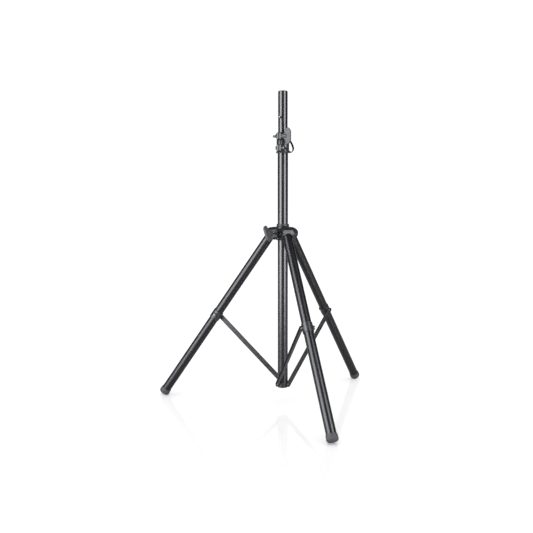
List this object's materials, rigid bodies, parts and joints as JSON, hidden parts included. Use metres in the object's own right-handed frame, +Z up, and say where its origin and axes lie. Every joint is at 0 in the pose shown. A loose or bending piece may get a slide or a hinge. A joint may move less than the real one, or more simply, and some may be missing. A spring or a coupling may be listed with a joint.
{
  "type": "speaker tripod stand",
  "caption": "Folding tripod stand for a loudspeaker: telescoping pole with clamp collar and lock pin, sliding hub with legs and braces.",
  "frame": {"origin": "on the floor, below the axis of the pole", "axes": "+Z up along the pole; one leg (a) points along -X, leg b at 300 degrees and leg c at 60 degrees about +Z"},
  "size_m": [0.747, 0.8564, 1.153],
  "materials": {
    "mast_paint": "gloss black powder coat",
    "pole_paint": "gloss black powder coat",
    "leg_paint": "gloss black powder coat",
    "brace_paint": "satin dark grey",
    "casting_paint": "satin cast, black",
    "bracket_steel": "satin black",
    "saddle_steel": "satin black",
    "bushing_nylon": "moulded nylon",
    "knob_plastic": "grained moulded plastic",
    "bolt_steel": "black zinc",
    "ring_chrome": "bright",
    "strap_webbing": "woven nylon",
    "foot_rubber": "moulded rubber"
  },
  "bodies": {
    "mast_body": {"mast_tube": "mast_paint", "mast_plug": "bushing_nylon", "brace_bracket": "bracket_steel", "brace_foot_rivet_a": "bolt_steel", "brace_foot_rivet_b": "bolt_steel", "brace_foot_rivet_c": "bolt_steel", "collar_clamp": "casting_paint", "collar_bushing": "bushing_nylon", "collar_lower_bolt": "bolt_steel", "collar_lower_nut": "bolt_steel", "collar_upper_nut": "bolt_steel", "strap_anchor": "bolt_steel", "safety_strap": "strap_webbing"},
    "pole_body": {"pole_tube": "pole_paint", "pole_cap": "bushing_nylon", "pole_shoe": "bushing_nylon"},
    "pin_body": {"lock_pin": "bolt_steel", "pin_ring": "ring_chrome", "strap_crimp": "bolt_steel"},
    "collar_knob_body": {"collar_knob": "knob_plastic", "collar_knob_bolt": "bolt_steel"},
    "hub_body": {"hub_casting": "casting_paint", "hub_bushing": "bushing_nylon", "leg_pivot_bolt_a": "bolt_steel", "leg_pivot_nut_a": "bolt_steel", "leg_pivot_bolt_b": "bolt_steel", "leg_pivot_nut_b": "bolt_steel", "leg_pivot_bolt_c": "bolt_steel", "leg_pivot_nut_c": "bolt_steel"},
    "hub_knob_body": {"hub_knob": "knob_plastic", "hub_knob_stud": "bolt_steel"},
    "leg_a_body": {"leg_tube_a": "leg_paint", "leg_top_plug_a": "bushing_nylon", "foot_cap_a": "foot_rubber", "brace_saddle_a": "saddle_steel", "saddle_bolt_a": "bolt_steel"},
    "brace_a_body": {"brace_a": "brace_paint", "brace_top_rivet_a": "bolt_steel"},
    "leg_b_body": {"leg_tube_b": "leg_paint", "leg_top_plug_b": "bushing_nylon", "foot_cap_b": "foot_rubber", "brace_saddle_b": "saddle_steel", "saddle_bolt_b": "bolt_steel"},
    "brace_b_body": {"brace_b": "brace_paint", "brace_top_rivet_b": "bolt_steel"},
    "leg_c_body": {"leg_tube_c": "leg_paint", "leg_top_plug_c": "bushing_nylon", "foot_cap_c": "foot_rubber", "brace_saddle_c": "saddle_steel", "saddle_bolt_c": "bolt_steel"},
    "brace_c_body": {"brace_c": "brace_paint", "brace_top_rivet_c": "bolt_steel"}
  },
  "joints": [
    {"name": "pole_slide", "type": "slide", "parent": "mast_body", "child": "pole_body", "axis": [0, 0, 1], "range_m": [0, 0.6]},
    {"name": "pin_pull", "type": "slide", "parent": "mast_body", "child": "pin_body", "axis": [0.2079, 0.9781, 0], "range_m": [0, 0.07]},
    {"name": "collar_knob_turn", "type": "hinge", "parent": "mast_body", "child": "collar_knob_body", "pos_m": [-0.00592, -0.03043, 0.988], "axis": [0.9816, -0.1908, 0], "range_deg": [0, 720]},
    {"name": "hub_slide", "type": "slide", "parent": "mast_body", "child": "hub_body", "axis": [0, 0, 1], "range_m": [0, 0.169]},
    {"name": "hub_knob_turn", "type": "hinge", "parent": "hub_body", "child": "hub_knob_body", "pos_m": [-0.031, -0.05369, 0.637], "axis": [-0.5, -0.866, 0], "range_deg": [0, 720]},
    {"name": "leg_fold_a", "type": "hinge", "parent": "hub_body", "child": "leg_a_body", "pos_m": [-0.042, 0, 0.6356], "axis": [0, -1, 0], "range_deg": [0, 33.28]},
    {"name": "brace_fold_a", "type": "hinge", "parent": "mast_body", "child": "brace_a_body", "pos_m": [-0.004, 0, 0.069], "axis": [0, 1, 0], "range_deg": [0, 37.2]},
    {"name": "leg_fold_b", "type": "hinge", "parent": "hub_body", "child": "leg_b_body", "pos_m": [0.021, -0.03637, 0.6356], "axis": [0.866, 0.5, 0], "range_deg": [0, 33.28]},
    {"name": "brace_fold_b", "type": "hinge", "parent": "mast_body", "child": "brace_b_body", "pos_m": [0.002, -0.00346, 0.069], "axis": [-0.866, -0.5, 0], "range_deg": [0, 37.2]},
    {"name": "leg_fold_c", "type": "hinge", "parent": "hub_body", "child": "leg_c_body", "pos_m": [0.021, 0.03637, 0.6356], "axis": [-0.866, 0.5, 0], "range_deg": [0, 33.28]},
    {"name": "brace_fold_c", "type": "hinge", "parent": "mast_body", "child": "brace_c_body", "pos_m": [0.002, 0.00346, 0.069], "axis": [0.866, -0.5, 0], "range_deg": [0, 37.2]}
  ],
  "couplings": [
    {"joint": "leg_fold_a", "follows": "hub_slide", "rad_per_m": 3.4349},
    {"joint": "brace_fold_a", "follows": "hub_slide", "rad_per_m": 3.8397},
    {"joint": "leg_fold_b", "follows": "hub_slide", "rad_per_m": 3.4349},
    {"joint": "brace_fold_b", "follows": "hub_slide", "rad_per_m": 3.8397},
    {"joint": "leg_fold_c", "follows": "hub_slide", "rad_per_m": 3.4349},
    {"joint": "brace_fold_c", "follows": "hub_slide", "rad_per_m": 3.8397}
  ]
}
